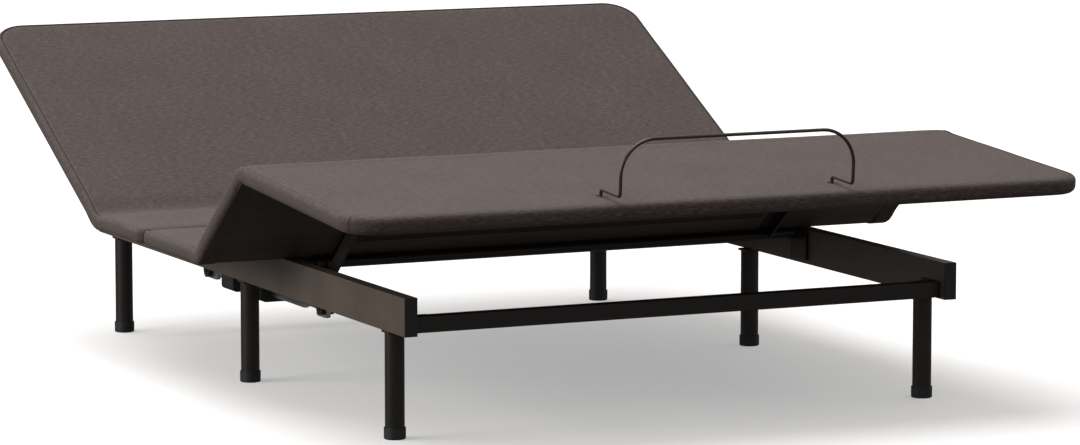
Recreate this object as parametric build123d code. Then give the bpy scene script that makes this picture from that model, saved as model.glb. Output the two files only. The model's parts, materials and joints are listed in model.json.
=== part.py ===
from build123d import *
import os
from math import cos, radians, sin

# Adjustable bed base, 140 x 200 cm, modelled in millimetres at its raised rest pose.
# Frame: origin on the floor under the middle of the bed, +Z up, +Y to the head end, +X to the
# right as seen from the foot end. Sections are drawn lying flat and then turned to the rest pose.

# ---- driving dimensions -------------------------------------------------------------------
HALF_WIDTH = 700.0          # half of the deck's width
BOARD_T = 15.0              # plywood deck board
DECK_T = 30.0               # board with foam and cover
BOARD_INSET = 6.0           # cover thickness round the board's edge
CORNER_R = 65.0             # plan radius of the deck's four outer corners
SEAM_R = 25.0               # plan radius of the corners at the seam in the seat
DECK_Z = 253.5              # underside of the flat deck, on top of the rails
DUST_T = 1.2                # woven dust cover under a section

RAIL_HALF = 757.0           # half length of a side rail
RAIL_OUT = 532.4            # outer face of a side rail
RAIL_T = 23.0
RAIL_H = 66.0
WALL = 2.0                  # steel tube wall
CROSS = 27.5                # square tube of the end cross rails
CROSS_Z = 190.5             # underside of the end cross rails
CROSS_OUT = 742.5           # outer face of the end cross rails
BEAM_Y = (86.0, 109.0)      # middle cross beam
SEAT_BAR = 25.0             # square tubes under the free ends of the seat boards
SEAT_BAR_Y = (-178.0, 262.0)

LEG_PITCH = 671.0           # legs stand at -pitch, 0 and +pitch
LEG_X = 514.0
LEG_R = 17.0
LEG_PLATE_T = 4.0
FLOOR_CAP_R = 19.0
FLOOR_CAP_H = 20.0
FLOOR_CAP_BASE = 5.0

HEAD_AXIS = (328.4, 243.0)  # (y, z) of the head section's pivot
THIGH_AXIS = (-215.9, 243.0)
HEAD_LENGTH = 683.1         # pivot to head end
THIGH_LENGTH = 271.8        # pivot to knee pivot
FOOT_LENGTH = 503.8         # knee pivot to foot end
KNEE_DROP = 6.0             # knee pivot below the deck's underside
HEAD_REST = 27.1            # degrees above flat at rest
THIGH_REST = 38.2
KNEE_RATIO = 1.102          # degrees of knee bend for one degree of thigh lift
HEAD_MAX = 60.0
THIGH_MAX = 45.0
SEAT_SEAM_Y = 70.0          # seam between the two seat sections

PIVOT_R = 10.0              # pivot tube
BUSH_R = 13.0
BUSH_X = (499.4, 509.4)
BUSH_GAP = 0.05             # running clearance, radial
ARM_X = 440.0               # section side arms, angle steel
ARM_SIZE = 20.0
ARM_T = 3.0
CRANK_R = 80.0              # pivot to crank pin
CRANK_X = -462.0
CRANK_T = 6.0
CRANK_GAP = 14.0            # between the two crank plates
PIN_R = 5.0
SLOT_GAP = 1.0              # clearance of the crank pin across the slot in the rod's eye
SLOT_HALF = 8.5             # travel of the crank pin each way along that slot
EYE_T = 8.0

ROD_Z = 167.0               # axis of both actuators
ROD_R = 9.0
TUBE_R = 15.0
EYE_BACK = 34.0             # crank pin to the rod's shoulder
MOUNT_PIN_Y = (71.0, 124.0)  # fixed ends of the foot and the head actuator
LINK_X = -490.0             # the foot section's guide link, on the actuators' side
LINK_T = 5.0
LINK_BASE = (-320.4, 228.9)  # (y, z) of the link's fixed pivot
LINK_PIN = (-90.0, -12.0)   # link's pin on the foot section, from the knee pivot, flat
LINK_R = 12.5

BAR_R = 3.0                 # mattress retainer bar
BAR_X = 7.8                 # middle of the bar
BAR_WIDTH = 442.0
BAR_LOW = 11.7              # its runs above the deck's top
BAR_HIGH = 108.0            # its arch above the deck's top
BAR_FROM_END = 4.0          # uprights inside the foot end
BAR_RUN = 74.0              # uprights to pegs
BAR_BEND = 62.0
BAR_ELBOW = 7.0
BAR_PEG = 26.0
SOCKET_SUNK = 1.0           # sockets end just below the cover's top

KNEE_Z = DECK_Z - KNEE_DROP
KNEE_AXIS = (THIGH_AXIS[0] - THIGH_LENGTH, KNEE_Z)
RAIL_IN = RAIL_OUT - RAIL_T
RAIL_BOTTOM = DECK_Z - RAIL_H
TOP_Z = DECK_Z + DECK_T
FOOT_END = KNEE_AXIS[0] - FOOT_LENGTH
HEAD_END = HEAD_AXIS[0] + HEAD_LENGTH
LEGS = {"foot": -LEG_PITCH, "mid": 0.0, "head": LEG_PITCH}
SIDES = {"left": -1, "right": 1}

os.makedirs("parts", exist_ok=True)


# ---- helpers ------------------------------------------------------------------------------
def block(x0, x1, y0, y1, z0, z1):
    """Box between two corners."""
    size = (abs(x1 - x0), abs(y1 - y0), abs(z1 - z0))
    return Pos((x0 + x1) / 2, (y0 + y1) / 2, (z0 + z1) / 2) * Box(*size)


def rod_x(radius, x0, x1, y, z):
    """Round bar along X."""
    return Pos((x0 + x1) / 2, y, z) * Rot(0, 90, 0) * Cylinder(radius, abs(x1 - x0))


def rod_y(radius, y0, y1, x, z):
    """Round bar along Y."""
    return Pos(x, (y0 + y1) / 2, z) * Rot(90, 0, 0) * Cylinder(radius, abs(y1 - y0))


def rod_z(radius, z0, z1, x, y):
    """Round bar along Z."""
    return Pos(x, y, (z0 + z1) / 2) * Cylinder(radius, abs(z1 - z0))


def tube_box(x0, x1, y0, y1, z0, z1, along):
    """Rectangular steel tube, open at both ends of its length."""
    inner = [[x0, x1], [y0, y1], [z0, z1]]
    for i in range(3):
        step = -1.0 if i == along else WALL
        inner[i] = [inner[i][0] + step, inner[i][1] - step]
    return block(x0, x1, y0, y1, z0, z1) - block(*inner[0], *inner[1], *inner[2])


def turn(shape, axis_point, degrees):
    """Turn a shape about an X axis through (y, z)."""
    return shape.rotate(Axis((0, axis_point[0], axis_point[1]), (1, 0, 0)), degrees)


def head_pose(shape):
    """Flat head section to its rest pose."""
    return turn(shape, HEAD_AXIS, HEAD_REST)


def thigh_pose(shape):
    """Flat thigh section to its rest pose."""
    return turn(shape, THIGH_AXIS, -THIGH_REST)


def foot_pose(shape):
    """Flat foot section to its rest pose: bent at the knee, then lifted with the thigh."""
    return thigh_pose(turn(shape, KNEE_AXIS, KNEE_RATIO * THIGH_REST))


def group(shapes):
    """Several separate solids as one part."""
    return Compound(children=[s for shape in shapes for s in shape.solids()])


def save(name, shape):
    """Write one part."""
    export_step(shape, f"parts/{name}.step")


def slab(half_width, y0, y1, z0, z1, radius0, radius1):
    """Flat slab with plan radii at its y0 end and its y1 end."""
    body = block(-half_width, half_width, y0, y1, z0, z1)
    for y, radius in ((y0, radius0), (y1, radius1)):
        if radius > 0:
            edges = [e for e in body.edges().filter_by(Axis.Z) if abs(e.center().Y - y) < 0.01]
            body = fillet(edges, radius)
    return body


def end_cut(axis_point, degrees, side):
    """Wedge cleared beside a fold: everything past a plane leaning back from the pivot line."""
    reach = 400.0
    gap = 0.5
    wedge = block(-900, 900, 0, side * reach, -200, 300)
    wedge = wedge.rotate(Axis((0, 0, 0), (1, 0, 0)), -side * -degrees)
    return Pos(0, axis_point[0] - side * gap, axis_point[1]) * wedge


# ---- deck sections: board, padded cover and dust cover ------------------------------------
def section(y0, y1, radii, cuts):
    """Board and padded cover of one flat deck section."""
    pad = slab(HALF_WIDTH, y0, y1, DECK_Z, TOP_Z, *radii)
    ends = [BOARD_INSET if r > 0 else 0.0 for r in radii]
    inner = [max(r - BOARD_INSET, 0.0) for r in radii]
    board = slab(
        HALF_WIDTH - BOARD_INSET, y0 + ends[0], y1 - ends[1], DECK_Z, DECK_Z + BOARD_T, *inner
    )
    pad -= board
    for cut in cuts:
        pad -= cut
        board -= cut
    return board, pad


def dust_cover(y0, y1):
    """Thin woven sheet stapled between the side arms, under the board."""
    width = ARM_X - ARM_SIZE - 12
    return block(-width, width, y0, y1, DECK_Z - DUST_T, DECK_Z)


head_cut = end_cut(HEAD_AXIS, HEAD_MAX / 2, -1)
seat_head_cut = end_cut(HEAD_AXIS, HEAD_MAX / 2, 1)
thigh_cut = end_cut(THIGH_AXIS, THIGH_MAX / 2, 1)
seat_foot_cut = end_cut(THIGH_AXIS, THIGH_MAX / 2, -1)
KNEE_GAP = 0.6

head_board, head_pad = section(HEAD_AXIS[0], HEAD_END, (0, CORNER_R), [head_cut])
seat_a_board, seat_a_pad = section(SEAT_SEAM_Y + 1, HEAD_AXIS[0], (SEAM_R, 0), [seat_head_cut])
seat_b_board, seat_b_pad = section(THIGH_AXIS[0], SEAT_SEAM_Y - 1, (0, SEAM_R), [seat_foot_cut])
thigh_board, thigh_pad = section(KNEE_AXIS[0] + KNEE_GAP, THIGH_AXIS[0], (0, 0), [thigh_cut])
foot_board, foot_pad = section(FOOT_END, KNEE_AXIS[0] - KNEE_GAP, (CORNER_R, 0), [])


# ---- base frame ---------------------------------------------------------------------------
def side_rail(side):
    """Side rail with a hole for each leg's stud."""
    x0, x1 = sorted((side * RAIL_IN, side * RAIL_OUT))
    rail = tube_box(x0, x1, -RAIL_HALF, RAIL_HALF, RAIL_BOTTOM, DECK_Z, 1)
    for y in LEGS.values():
        rail -= rod_z(PIN_R + 0.3, RAIL_BOTTOM - 1, RAIL_BOTTOM + WALL + 1, side * (RAIL_IN + 11.5), y)
    return rail


def end_cap(side, end):
    """Plastic cap closing a rail end, with a plug inside the tube."""
    x0, x1 = sorted((side * RAIL_IN, side * RAIL_OUT))
    cap = block(x0, x1, end * RAIL_HALF, end * (RAIL_HALF + 2), RAIL_BOTTOM, DECK_Z)
    plug = block(
        x0 + WALL, x1 - WALL, end * (RAIL_HALF - 12), end * RAIL_HALF, RAIL_BOTTOM + WALL, DECK_Z - WALL
    )
    return cap + plug


def leg(side, y):
    """Round steel leg with a closed top and a threaded stud."""
    x = side * LEG_X
    top = RAIL_BOTTOM - LEG_PLATE_T
    tube = rod_z(LEG_R, FLOOR_CAP_BASE, top, x, y) - rod_z(LEG_R - WALL, 0, top - WALL, x, y)
    return tube + rod_z(PIN_R, top, RAIL_BOTTOM + 12, side * (RAIL_IN + 11.5), y)


def floor_cap(side, y):
    """Plastic cap on a leg's lower end, flat underneath."""
    x = side * LEG_X
    cap = rod_z(FLOOR_CAP_R, 0, FLOOR_CAP_H, x, y)
    cap = chamfer(cap.edges().group_by(Axis.Z)[0], 1.5)
    return cap - rod_z(LEG_R, FLOOR_CAP_BASE, FLOOR_CAP_H + 1, x, y)


def leg_plate(side, y):
    """Plate welded under the rail that the leg screws up against."""
    x0, x1 = sorted((side * (RAIL_IN - 12), side * (RAIL_OUT - 1)))
    plate = block(x0, x1, y - 16, y + 16, RAIL_BOTTOM - LEG_PLATE_T, RAIL_BOTTOM)
    return plate - rod_z(PIN_R + 0.3, 0, RAIL_BOTTOM + 1, side * (RAIL_IN + 11.5), y)


def cross_tube(y0, y1, z0, z1):
    """Cross member between the two side rails."""
    return tube_box(-RAIL_IN, RAIL_IN, y0, y1, z0, z1, 0)


def corner_angle(side, y, z0, z1, facing):
    """Angle bracket that bolts a cross member to a side rail."""
    inner = side * RAIL_IN
    web = block(inner, inner - side * 4, y, y + facing * 36, z0, z1)
    return web + block(inner, inner - side * 36, y, y + facing * 4, z0, z1)


def bolt_x(x, side, y, z):
    """Round-head screw into a rail's inner face."""
    return rod_x(6.5, x, x - side * 4, y, z)


for side_name, side in SIDES.items():
    save(f"{side_name}_side_rail", side_rail(side))
    for leg_name, y in LEGS.items():
        save(f"leg_{leg_name}_{side_name}", leg(side, y))
save("rail_end_caps", group([end_cap(s, e) for s in SIDES.values() for e in (-1, 1)]))
save("leg_floor_caps", group([floor_cap(s, y) for s in SIDES.values() for y in LEGS.values()]))
save("leg_plates", group([leg_plate(s, y) for s in SIDES.values() for y in LEGS.values()]))
save("foot_cross_rail", cross_tube(-CROSS_OUT, CROSS - CROSS_OUT, CROSS_Z, CROSS_Z + CROSS))
save("head_cross_rail", cross_tube(CROSS_OUT - CROSS, CROSS_OUT, CROSS_Z, CROSS_Z + CROSS))
save("mid_cross_beam", cross_tube(*BEAM_Y, RAIL_BOTTOM, DECK_Z))
seat_bars = [cross_tube(y, y + SEAT_BAR, DECK_Z - SEAT_BAR, DECK_Z) for y in SEAT_BAR_Y]
save("seat_cross_bars", group(seat_bars))
angles = []
bolts = []
ANGLE_SPOTS = (
    (CROSS - CROSS_OUT, CROSS_Z, CROSS_Z + CROSS, 1),
    (CROSS_OUT - CROSS, CROSS_Z, CROSS_Z + CROSS, -1),
    (BEAM_Y[0], RAIL_BOTTOM + 8, DECK_Z - 12, -1),
)
for side in SIDES.values():
    for y, z0, z1, facing in ANGLE_SPOTS:
        angles.append(corner_angle(side, y, z0, z1, facing))
        bolts.append(bolt_x(side * (RAIL_IN - 4), side, y + facing * 22, (z0 + z1) / 2))
save("corner_angles", group(angles))
save("frame_bolts", group(bolts))


# ---- pivots, bushes and cranks ------------------------------------------------------------
def pivot_bracket(side, axis_point):
    """Plate on the rail's inner face that carries a pivot bush."""
    y, z = axis_point
    inner = side * RAIL_IN
    plate = block(inner, inner - side * 6, y - 30, y + 30, RAIL_BOTTOM + 8, DECK_Z - 0.5)
    return plate - rod_x(BUSH_R, inner + side, inner - side * 7, y, z)


def bush(side, axis_point):
    """Nylon sleeve that the pivot tube turns in."""
    y, z = axis_point
    x0, x1 = (side * BUSH_X[0], side * BUSH_X[1])
    shape = rod_x(BUSH_R, x0, x1, y, z) - rod_x(PIVOT_R + BUSH_GAP, x0 - side, x1 + side, y, z)
    return shape - block(x0 - side, x1 + side, y - 20, y + 20, DECK_Z - 0.4, DECK_Z + 20)


def pivot_tube(axis_point):
    """Tube across the bed that a section turns on."""
    reach = BUSH_X[1] - 1.0
    return rod_x(PIVOT_R, -reach, reach, *axis_point) - rod_x(PIVOT_R - 2.5, -520, 520, *axis_point)


def crank(axis_point, away, travel):
    """Two plates and a welded pin under a pivot tube, drawn for the flat deck.

    away is +1 where the pin moves to +Y as the section rises, and travel its whole turn."""
    lean = radians(travel / 2)
    y = axis_point[0] - away * CRANK_R * sin(lean)
    z = axis_point[1] - CRANK_R * cos(lean)
    reach = CRANK_GAP / 2 + CRANK_T + 2
    welded = rod_x(PIN_R, CRANK_X - reach, CRANK_X + reach, y, z)
    for s in (-1, 1):
        x0 = CRANK_X + s * CRANK_GAP / 2
        x1 = x0 + s * CRANK_T
        bar = block(x0, x1, -14, 14, -CRANK_R, 0) + rod_x(14, x0, x1, 0, -CRANK_R)
        bar += rod_x(16, x0, x1, 0, 0)
        bar = bar.rotate(Axis((0, 0, 0), (1, 0, 0)), -away * travel / 2)
        bar = Pos(0, *axis_point) * bar
        bar -= block(-900, 900, -900, 900, DECK_Z - 0.3, 400)
        welded += bar - rod_x(PIVOT_R, -900, 900, *axis_point)
    return welded


def arm(side, y0, y1, tube_axis=None):
    """Angle-steel side arm under a section's board."""
    x = side * ARM_X
    flange = block(x, x - side * ARM_SIZE, y0, y1, DECK_Z - ARM_T, DECK_Z)
    web = block(x, x - side * ARM_T, y0, y1, DECK_Z - ARM_SIZE, DECK_Z)
    shape = flange + web
    if tube_axis:
        shape -= rod_x(PIVOT_R, -900, 900, *tube_axis)
    return shape


def section_bar(y):
    """Square tube across a section, between its side arms and under the dust cover."""
    reach = ARM_X - ARM_SIZE
    top = DECK_Z - DUST_T
    return tube_box(-reach, reach, y, y + ARM_SIZE, top - ARM_SIZE, top, 0)


brackets = [pivot_bracket(s, a) for s in SIDES.values() for a in (HEAD_AXIS, THIGH_AXIS)]
save("pivot_brackets", group(brackets))
save("pivot_bushes", group([bush(s, a) for s in SIDES.values() for a in (HEAD_AXIS, THIGH_AXIS)]))

# head section
head_y = HEAD_AXIS[0]
save("head_board", head_pose(head_board))
save("head_pad", head_pose(head_pad))
save("head_pivot_tube", head_pose(pivot_tube(HEAD_AXIS)))
save("head_crank", head_pose(crank(HEAD_AXIS, 1, HEAD_MAX)))
head_arms = [arm(s, head_y + 9, head_y + 600, HEAD_AXIS) - head_cut for s in SIDES.values()]
head_bars = [section_bar(head_y + 150), section_bar(head_y + 560)]
save("head_frame", head_pose(group(head_arms + head_bars)))
save("head_dust_cover", head_pose(dust_cover(head_y + 30, head_y + 640)))

# thigh section
thigh_y = THIGH_AXIS[0]
knee_y = KNEE_AXIS[0]
save("thigh_board", thigh_pose(thigh_board))
save("thigh_pad", thigh_pose(thigh_pad))
save("thigh_pivot_tube", thigh_pose(pivot_tube(THIGH_AXIS)))
save("thigh_crank", thigh_pose(crank(THIGH_AXIS, -1, THIGH_MAX)))
thigh_arms = [arm(s, knee_y + 34, thigh_y - 9, THIGH_AXIS) - thigh_cut for s in SIDES.values()]
save("thigh_frame", thigh_pose(group(thigh_arms)))
save("thigh_dust_cover", thigh_pose(dust_cover(knee_y + 40, thigh_y - 30)))


# ---- knee hinges --------------------------------------------------------------------------
HINGE_X = (-330.0, -110.0, 110.0, 330.0)
KNUCKLE_R = 5.5
HINGE_PIN_R = 3.0


def knee_leaf(x, side, spans):
    """Hinge leaf screwed under a board, with its knuckles."""
    leaf = block(x - 30, x + 30, knee_y + side * 6, knee_y + side * 32, DECK_Z - 3, DECK_Z)
    for x0, x1 in spans:
        leaf += rod_x(KNUCKLE_R, x + x0, x + x1, *KNEE_AXIS)
        leaf += block(x + x0, x + x1, knee_y, knee_y + side * 8, DECK_Z - 3, DECK_Z - 0.5)
    return leaf


outer_spans = ((-30, -10.5), (10.5, 30))
inner_spans = ((-10, 10),)
thigh_leaves = []
foot_leaves = []
for x in HINGE_X:
    pin_hole = rod_x(HINGE_PIN_R + 0.05, x - 40, x + 40, *KNEE_AXIS)
    fixed_hole = rod_x(HINGE_PIN_R, x - 40, x + 40, *KNEE_AXIS)
    thigh_leaves.append(knee_leaf(x, 1, outer_spans) - fixed_hole)
    foot_leaves.append(knee_leaf(x, -1, inner_spans) - pin_hole)
save("knee_hinge_thigh_leaves", thigh_pose(group(thigh_leaves)))
save("knee_hinge_foot_leaves", foot_pose(group(foot_leaves)))
hinge_pins = [rod_x(HINGE_PIN_R, x - 31, x + 31, *KNEE_AXIS) for x in HINGE_X]
save("knee_hinge_pins", thigh_pose(group(hinge_pins)))


# ---- foot section's frame, sockets and links ----------------------------------------------
def bar_leg_x(side):
    """Centre of one of the retainer bar's uprights."""
    return BAR_X + side * BAR_WIDTH / 2


PEG_Y = FOOT_END + BAR_FROM_END + BAR_RUN
SOCKET_R = BAR_R + 4
for s in (-1, 1):
    hole = rod_z(SOCKET_R, DECK_Z - 1, TOP_Z + 1, bar_leg_x(s), PEG_Y)
    foot_pad -= hole
    foot_board -= hole
save("foot_pad", foot_pose(foot_pad))
save("foot_board", foot_pose(foot_board))
sockets = []
for s in (-1, 1):
    sleeve = rod_z(SOCKET_R, DECK_Z, TOP_Z - SOCKET_SUNK, bar_leg_x(s), PEG_Y)
    sockets.append(sleeve - rod_z(BAR_R + 0.3, TOP_Z - BAR_PEG - 2, TOP_Z + 1, bar_leg_x(s), PEG_Y))
save("retainer_sockets", foot_pose(group(sockets)))
foot_arm_start = FOOT_END + 130
foot_arms = [arm(s, foot_arm_start, knee_y - 34) for s in SIDES.values()]
save("foot_frame", foot_pose(group([*foot_arms, section_bar(knee_y - 250)])))
save("foot_dust_cover", foot_pose(dust_cover(foot_arm_start, knee_y - 40)))

link_pin = (knee_y + LINK_PIN[0], KNEE_Z + LINK_PIN[1])
lug = block(-ARM_X - 5, -ARM_X, link_pin[0] - 16, link_pin[0] + 16, 222, DECK_Z)
lug += rod_x(PIN_R, LINK_X - LINK_T / 2 - 3, -ARM_X, *link_pin)
save("link_lug", foot_pose(lug))
stud = rod_x(PIN_R, -RAIL_IN, LINK_X + LINK_T / 2 + 3, *LINK_BASE)
save("link_stud", stud + rod_x(12, -RAIL_IN, -RAIL_IN + 6, *LINK_BASE))


def rest_point(point):
    """A point of the flat foot section at the rest pose, as (y, z)."""
    spot = foot_pose(Pos(0, *point) * Box(1, 1, 1)).center()
    return spot.Y, spot.Z


def link():
    """Flat link bar from the base to the foot section, its upper hole with clearance."""
    x0, x1 = (LINK_X - LINK_T / 2, LINK_X + LINK_T / 2)
    y1, z1 = rest_point(link_pin)
    y0, z0 = LINK_BASE
    length = ((y1 - y0) ** 2 + (z1 - z0) ** 2) ** 0.5
    angle = Vector(0, -1, 0).get_signed_angle(Vector(0, y1 - y0, z1 - z0), Vector(1, 0, 0))
    bar = block(x0, x1, -length, 0, -LINK_R, LINK_R)
    bar += rod_x(LINK_R, x0, x1, 0, 0)
    bar += rod_x(LINK_R, x0, x1, -length, 0)
    bar -= rod_x(PIN_R + 0.05, x0 - 1, x1 + 1, 0, 0)
    bar -= rod_x(PIN_R + 0.8, x0 - 1, x1 + 1, -length, 0)
    return Pos(0, y0, z0) * bar.rotate(Axis((0, 0, 0), (1, 0, 0)), angle)


save("foot_link", link())


# ---- mattress retainer bar ----------------------------------------------------------------
def retainer_bar():
    """Bent rod: arch, two runs along the deck and two pegs in their sockets."""
    z0 = TOP_Z + BAR_LOW
    z1 = TOP_Z + BAR_HIGH
    y0 = FOOT_END + BAR_FROM_END
    left, right = bar_leg_x(-1), bar_leg_x(1)
    points = [
        (left, PEG_Y, TOP_Z - BAR_PEG),
        (left, PEG_Y, z0),
        (left, y0, z0),
        (left, y0, z1),
        (right, y0, z1),
        (right, y0, z0),
        (right, PEG_Y, z0),
        (right, PEG_Y, TOP_Z - BAR_PEG),
    ]
    radii = [BAR_ELBOW, BAR_ELBOW, BAR_BEND, BAR_BEND, BAR_ELBOW, BAR_ELBOW]
    path = FilletPolyline(*points, radius=radii)
    return sweep(Plane(origin=points[0], z_dir=(0, 0, 1)) * Circle(BAR_R), path=path)


save("retainer_bar", foot_pose(retainer_bar()))


# ---- actuators ----------------------------------------------------------------------------
def crank_pin_y(axis_point, away, travel, raised):
    """Where the crank pin stands along Y with its section raised by so many degrees."""
    return axis_point[0] + away * CRANK_R * sin(radians(raised - travel / 2))


def eye(y, away):
    """Rod end plate with an upright slot that lets the crank pin rise and fall."""
    half = EYE_T / 2
    back = y - away * EYE_BACK
    plate = block(CRANK_X - half, CRANK_X + half, back, y + away * 14, ROD_Z - 20, ROD_Z + 20)
    plate = fillet(plate.edges().filter_by(Axis.X), 6)
    slot_r = PIN_R + SLOT_GAP
    slot = block(CRANK_X - 9, CRANK_X + 9, y - slot_r, y + slot_r, ROD_Z - SLOT_HALF, ROD_Z + SLOT_HALF)
    for s in (-1, 1):
        slot += rod_x(slot_r, CRANK_X - 9, CRANK_X + 9, y, ROD_Z + s * SLOT_HALF)
    return plate - slot


def rod(y, away, length):
    """Actuator rod behind its eye."""
    start = y - away * EYE_BACK
    return rod_y(ROD_R, start, start - away * length, CRANK_X, ROD_Z)


def actuator(away, housing_y, tube_end):
    """Gear housing with its motor, and the outer tube, hollow for the rod."""
    h0, h1 = housing_y
    housing = block(CRANK_X - 30, CRANK_X + 30, h0, h1, ROD_Z - 22, ROD_Z + 18)
    housing = fillet(housing.edges().filter_by(Axis.Y), 8)
    mid = (h0 + h1) / 2
    motor = rod_x(18, CRANK_X + 30, CRANK_X + 135, mid, ROD_Z - 2)
    motor = fillet(motor.edges().group_by(Axis.X)[-1], 4)
    lug_y = h0 - away * 16
    lug = block(CRANK_X - 4, CRANK_X + 4, h0, lug_y, ROD_Z - 11, ROD_Z + 11)
    lug += rod_x(11, CRANK_X - 4, CRANK_X + 4, lug_y, ROD_Z)
    housing = housing + lug - rod_x(PIN_R, CRANK_X - 9, CRANK_X + 9, lug_y, ROD_Z)
    bore = rod_y(ROD_R + BUSH_GAP, h0 + away * 6, tube_end + away, CRANK_X, ROD_Z)
    tube = rod_y(TUBE_R, h1, tube_end, CRANK_X, ROD_Z) - bore
    return housing - bore, motor, tube


head_pin_y = crank_pin_y(HEAD_AXIS, 1, HEAD_MAX, HEAD_REST)
foot_pin_y = crank_pin_y(THIGH_AXIS, -1, THIGH_MAX, THIGH_REST)
# name: direction, housing's ends, tube's end, crank pin at rest, rod's length
ACTUATORS = {
    "head": (1, (140.0, 200.0), 248.0, head_pin_y, 106.0),
    "foot": (-1, (55.0, -5.0), -144.0, foot_pin_y, 124.0),
}
for name, (away, housing_y, tube_end, pin_y, length) in ACTUATORS.items():
    housing, motor, tube = actuator(away, housing_y, tube_end)
    save(f"{name}_actuator_housing", housing)
    save(f"{name}_actuator_motor", motor)
    save(f"{name}_actuator_tube", tube)
    save(f"{name}_actuator_rod", rod(pin_y, away, length) + eye(pin_y, away))


def actuator_bracket():
    """Two ears under the middle beam, and a pin through them for each actuator."""
    pieces = [rod_x(PIN_R, CRANK_X - 12, CRANK_X + 12, y, ROD_Z) for y in MOUNT_PIN_Y]
    for s in (-1, 1):
        x0 = CRANK_X + s * 5
        x1 = CRANK_X + s * 10
        ear = block(x0, x1, 62, 133, ROD_Z - 12, RAIL_BOTTOM)
        for y in MOUNT_PIN_Y:
            ear -= rod_x(PIN_R, -900, 900, y, ROD_Z)
        pieces.append(ear)
    return group(pieces)


save("actuator_bracket", actuator_bracket())

# ---- electrics under the seat -------------------------------------------------------------
control = fillet(block(-300, -120, 165, 245, DECK_Z - 42, DECK_Z).edges().filter_by(Axis.Z), 8)
inlet = block(-112, -96, 190, 214, DECK_Z - 34, DECK_Z - 14)
inlet -= block(-108, -90, 193, 211, DECK_Z - 31, DECK_Z - 17)
save("control_box", control)
save("power_supply", fillet(block(60, 220, 170, 235, DECK_Z - 38, DECK_Z).edges().filter_by(Axis.Z), 6))
save("power_inlet", Pos(-8, 0, 0) * inlet)

# ---- seat sections ------------------------------------------------------------------------
save("seat_head_board", seat_a_board)
save("seat_head_pad", seat_a_pad)
save("seat_foot_board", seat_b_board)
save("seat_foot_pad", seat_b_pad)
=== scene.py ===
"""Looks of the adjustable bed base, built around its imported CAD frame. Metres, +Z up, +Y to the head end."""

import json
import math

import bmesh
import bpy
import numpy as np
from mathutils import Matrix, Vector
from mathutils.kdtree import KDTree


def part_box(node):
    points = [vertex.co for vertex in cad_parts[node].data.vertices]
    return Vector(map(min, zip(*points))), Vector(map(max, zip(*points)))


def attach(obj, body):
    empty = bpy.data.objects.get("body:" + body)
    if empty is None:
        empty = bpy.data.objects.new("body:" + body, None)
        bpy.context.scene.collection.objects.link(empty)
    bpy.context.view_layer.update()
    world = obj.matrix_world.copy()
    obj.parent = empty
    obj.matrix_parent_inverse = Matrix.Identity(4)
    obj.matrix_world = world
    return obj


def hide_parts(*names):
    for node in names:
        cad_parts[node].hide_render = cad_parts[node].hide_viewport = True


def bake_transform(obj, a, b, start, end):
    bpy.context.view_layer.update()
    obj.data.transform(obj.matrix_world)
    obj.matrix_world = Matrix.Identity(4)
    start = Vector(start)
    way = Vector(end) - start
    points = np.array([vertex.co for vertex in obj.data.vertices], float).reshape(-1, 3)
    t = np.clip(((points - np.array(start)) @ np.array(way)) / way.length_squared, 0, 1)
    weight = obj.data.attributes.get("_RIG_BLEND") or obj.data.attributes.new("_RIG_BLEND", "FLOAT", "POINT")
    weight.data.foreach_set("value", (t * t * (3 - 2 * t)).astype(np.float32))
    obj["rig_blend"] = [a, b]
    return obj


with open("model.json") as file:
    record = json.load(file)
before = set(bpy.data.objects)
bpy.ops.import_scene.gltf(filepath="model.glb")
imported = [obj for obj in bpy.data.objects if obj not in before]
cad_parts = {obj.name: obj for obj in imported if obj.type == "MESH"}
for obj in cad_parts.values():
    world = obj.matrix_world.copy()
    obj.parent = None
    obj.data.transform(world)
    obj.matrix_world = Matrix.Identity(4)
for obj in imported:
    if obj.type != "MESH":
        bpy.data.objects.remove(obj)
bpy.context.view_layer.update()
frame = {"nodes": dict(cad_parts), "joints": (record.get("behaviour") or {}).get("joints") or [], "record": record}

NODES = frame["nodes"]
JOINTS = {j["name"]: j for j in frame["joints"]}
SUBPARTS = {s["node"]: s["material_slot"] for s in frame["record"]["subparts"]}
MM = 0.001

# ---- the deck lying flat, in metres --------------------------------------------------------
HALF_WIDTH = 0.700
DECK_Z = 0.2535                 # underside of the boards
SEAM_Y = 0.070                  # seam between the two seat covers
SEAM_GAP = 0.0010               # half of the gap in it
HEAD_AXIS = (JOINTS["head_lift"]["pos_m"][1], JOINTS["head_lift"]["pos_m"][2])
THIGH_AXIS = (JOINTS["thigh_lift"]["pos_m"][1], JOINTS["thigh_lift"]["pos_m"][2])
THIGH_LENGTH = 0.2718
KNEE_AXIS = (THIGH_AXIS[0] - THIGH_LENGTH, 0.2475)
HEAD_END = HEAD_AXIS[0] + 0.6831
FOOT_END = KNEE_AXIS[0] - 0.5038
THIGH_SPLIT = THIGH_AXIS[0] - THIGH_LENGTH / 2
HEAD_ANGLE = -math.radians(JOINTS["head_lift"]["range_deg"][0])
THIGH_ANGLE = -math.radians(JOINTS["thigh_lift"]["range_deg"][0])
KNEE_ANGLE = THIGH_ANGLE * 1.102
OUTER_R = 0.065
SEAM_R = 0.025
HEAD_FOLD = 0.120               # length of cover that turns at each fold
THIGH_FOLD = 0.100
KNEE_FOLD = 0.060


def smooth(t):
    """Smooth step from 0 to 1."""
    t = np.clip(t, 0.0, 1.0)
    return t * t * (3 - 2 * t)


def turn(y, z, axis_point, angle):
    """Turn points about an X axis through (y, z)."""
    dy, dz = y - axis_point[0], z - axis_point[1]
    c, s = np.cos(angle), np.sin(angle)
    return axis_point[0] + dy * c - dz * s, axis_point[1] + dy * s + dz * c


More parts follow.
